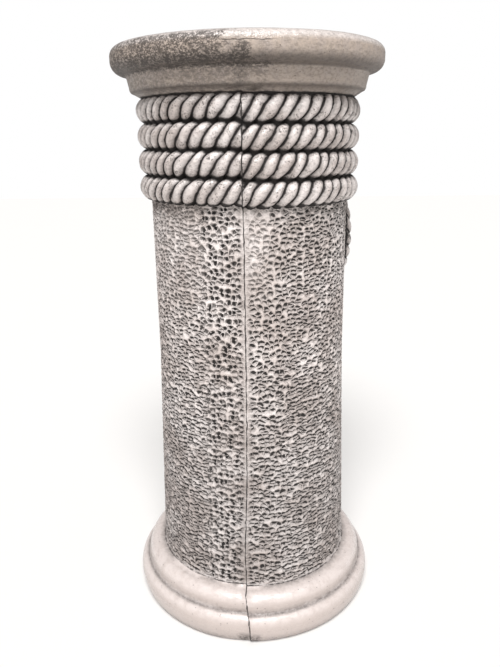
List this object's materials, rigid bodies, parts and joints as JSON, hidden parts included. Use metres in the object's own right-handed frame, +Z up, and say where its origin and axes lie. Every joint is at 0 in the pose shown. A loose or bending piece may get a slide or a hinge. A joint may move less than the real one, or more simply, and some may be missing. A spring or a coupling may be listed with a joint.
{
  "type": "rope-collar pedestal column",
  "caption": "Round cast-stone garden column with a rounded cap, a collar of carved rope, a stippled shaft and a stepped base, to stand a pot or ornament on.",
  "frame": {"origin": "middle of the flat underside, on the column's axis", "axes": "+Z up the column's axis; -Y faces the mould seam that the picture shows; the hanging loop of rope is towards +X +Y"},
  "size_m": [0.3234, 0.3234, 0.7],
  "materials": {
    "cast_stone": "matt, stippled and weathered cast stone with dark wash in its recesses"
  },
  "bodies": {
    "root": {"column": "cast_stone"}
  },
  "joints": []
}
